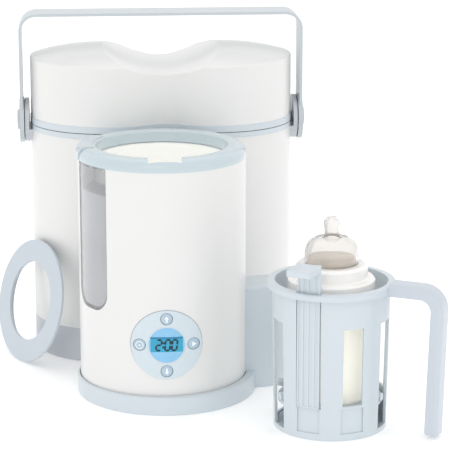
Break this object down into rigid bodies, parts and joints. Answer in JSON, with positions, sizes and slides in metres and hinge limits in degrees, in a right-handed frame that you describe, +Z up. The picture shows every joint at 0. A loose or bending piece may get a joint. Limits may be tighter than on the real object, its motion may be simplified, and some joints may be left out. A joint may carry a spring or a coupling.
{
  "type": "bottle warming set",
  "caption": "Round table warmer with water tank and control disc, insulated bottle carrier with bail, lift-out bottle basket with bottle, and adapter ring.",
  "frame": {"origin": "on the standing surface, on the warmer's upright axis, at the middle of its base plate", "axes": "+Z up; the control disc and the carrier's broad side face -Y; +X is to the right of someone facing the control disc"},
  "size_m": [0.3313, 0.3364, 0.278],
  "materials": {
    "white_plastic": "smooth moulded, soft gloss",
    "pale_blue_plastic": "smooth moulded, satin",
    "glossy_blue_plastic": "polished moulded",
    "cream_plastic": "satin",
    "grey_plastic": "textured moulded",
    "rubber_pad": "matt",
    "steel_screw": "machined",
    "heater_aluminium": "turned",
    "element_steel": "drawn tube",
    "control_disc_plastic": "satin",
    "display_window": "clear window, lit from behind",
    "lcd_glass": "backlit display",
    "circuit_board": "lacquered",
    "button_plastic": "satin",
    "smoke_plastic": "smoky translucent",
    "silicone_seal": "soft matt",
    "blue_grey_plastic": "satin",
    "insulation_foam": "closed-cell foam",
    "bail_plastic": "satin",
    "handle_plastic": "satin",
    "milk_plastic": "translucent bottle with milk",
    "ring_plastic": "smooth moulded",
    "teat_silicone": "translucent silicone",
    "adapter_plastic": "satin"
  },
  "bodies": {
    "warmer": {"warmer_shell": "white_plastic", "warmer_collar": "glossy_blue_plastic", "well_liner": "cream_plastic", "base_ring": "pale_blue_plastic", "base_plate": "grey_plastic", "foot_pads": "rubber_pad", "base_screws": "steel_screw", "inner_frame": "grey_plastic", "heater_plate": "heater_aluminium", "heating_element": "element_steel", "thermostat": "element_steel", "control_disc": "control_disc_plastic", "display_lens": "display_window", "lcd_panel": "lcd_glass", "control_board": "circuit_board", "tank_dock": "grey_plastic", "side_housing": "pale_blue_plastic", "housing_floor": "grey_plastic", "power_inlet": "grey_plastic", "power_board": "circuit_board"},
    "tank": {"water_tank": "smoke_plastic", "tank_cap": "silicone_seal"},
    "key_up": {"button_up": "button_plastic"},
    "key_clock": {"button_clock": "button_plastic"},
    "key_start": {"button_start": "button_plastic"},
    "key_down": {"button_down": "button_plastic"},
    "carrier": {"carrier_shell": "white_plastic", "carrier_cup": "blue_grey_plastic", "carrier_rim": "pale_blue_plastic", "carrier_liner": "cream_plastic", "carrier_foam": "insulation_foam", "hinge_ears": "blue_grey_plastic", "pivot_pins": "blue_grey_plastic"},
    "bail": {"bail_strap": "bail_plastic"},
    "lid": {"lid_shell": "white_plastic", "lid_rim": "pale_blue_plastic", "lid_plate": "cream_plastic", "lid_gasket": "silicone_seal", "lid_foam": "insulation_foam"},
    "basket": {"basket_body": "pale_blue_plastic", "basket_handle": "handle_plastic"},
    "lifter": {"lifter_strip": "pale_blue_plastic", "lifter_platform": "pale_blue_plastic"},
    "bottle": {"bottle_body": "milk_plastic"},
    "bottle_teat": {"teat": "teat_silicone"},
    "bottle_ring": {"screw_ring": "ring_plastic"},
    "adapter": {"adapter_ring": "adapter_plastic"}
  },
  "joints": [
    {"name": "tank_slide", "type": "slide", "parent": "warmer", "child": "tank", "axis": [-0.8704, -0.4924, 0], "range_m": [0, 0.045]},
    {"name": "press_up", "type": "slide", "parent": "warmer", "child": "key_up", "axis": [0, 1, 0], "range_m": [0, 0.0008], "stiffness_N_per_m": 600},
    {"name": "press_clock", "type": "slide", "parent": "warmer", "child": "key_clock", "axis": [0, 1, 0], "range_m": [0, 0.0008], "stiffness_N_per_m": 600},
    {"name": "press_start", "type": "slide", "parent": "warmer", "child": "key_start", "axis": [0, 1, 0], "range_m": [0, 0.0008], "stiffness_N_per_m": 600},
    {"name": "press_down", "type": "slide", "parent": "warmer", "child": "key_down", "axis": [0, 1, 0], "range_m": [0, 0.0008], "stiffness_N_per_m": 600},
    {"name": "carrier_lift", "type": "slide", "parent": "warmer", "child": "carrier", "axis": [0, 0, 1], "range_m": [0, 0.08]},
    {"name": "bail_swing", "type": "hinge", "parent": "carrier", "child": "bail", "pos_m": [0.005, 0.1244, 0.19], "axis": [1, 0, 0], "range_deg": [-95, 70]},
    {"name": "lid_lift", "type": "slide", "parent": "carrier", "child": "lid", "axis": [0, 0, 1], "range_m": [0, 0.02]},
    {"name": "basket_lift", "type": "slide", "parent": "warmer", "child": "basket", "axis": [0, 0, 1], "range_m": [0, 0.08]},
    {"name": "lifter_slide", "type": "slide", "parent": "basket", "child": "lifter", "axis": [0, 0, 1], "range_m": [0, 0.055]},
    {"name": "bottle_lift", "type": "slide", "parent": "lifter", "child": "bottle", "axis": [0, 0, 1], "range_m": [0, 0.05]},
    {"name": "cap_rise", "type": "slide", "parent": "bottle", "child": "bottle_teat", "axis": [0, 0, 1], "range_m": [0, 0.006]},
    {"name": "ring_turn", "type": "hinge", "parent": "bottle_teat", "child": "bottle_ring", "pos_m": [0.1196, -0.0915, 0.11], "axis": [0, 0, 1], "range_deg": [0, 540]},
    {"name": "adapter_lift", "type": "slide", "parent": "warmer", "child": "adapter", "axis": [0, 0, 1], "range_m": [0, 0.05]}
  ],
  "couplings": [
    {"joint": "ring_turn", "follows": "cap_rise", "rad_per_m": 1570.8}
  ]
}
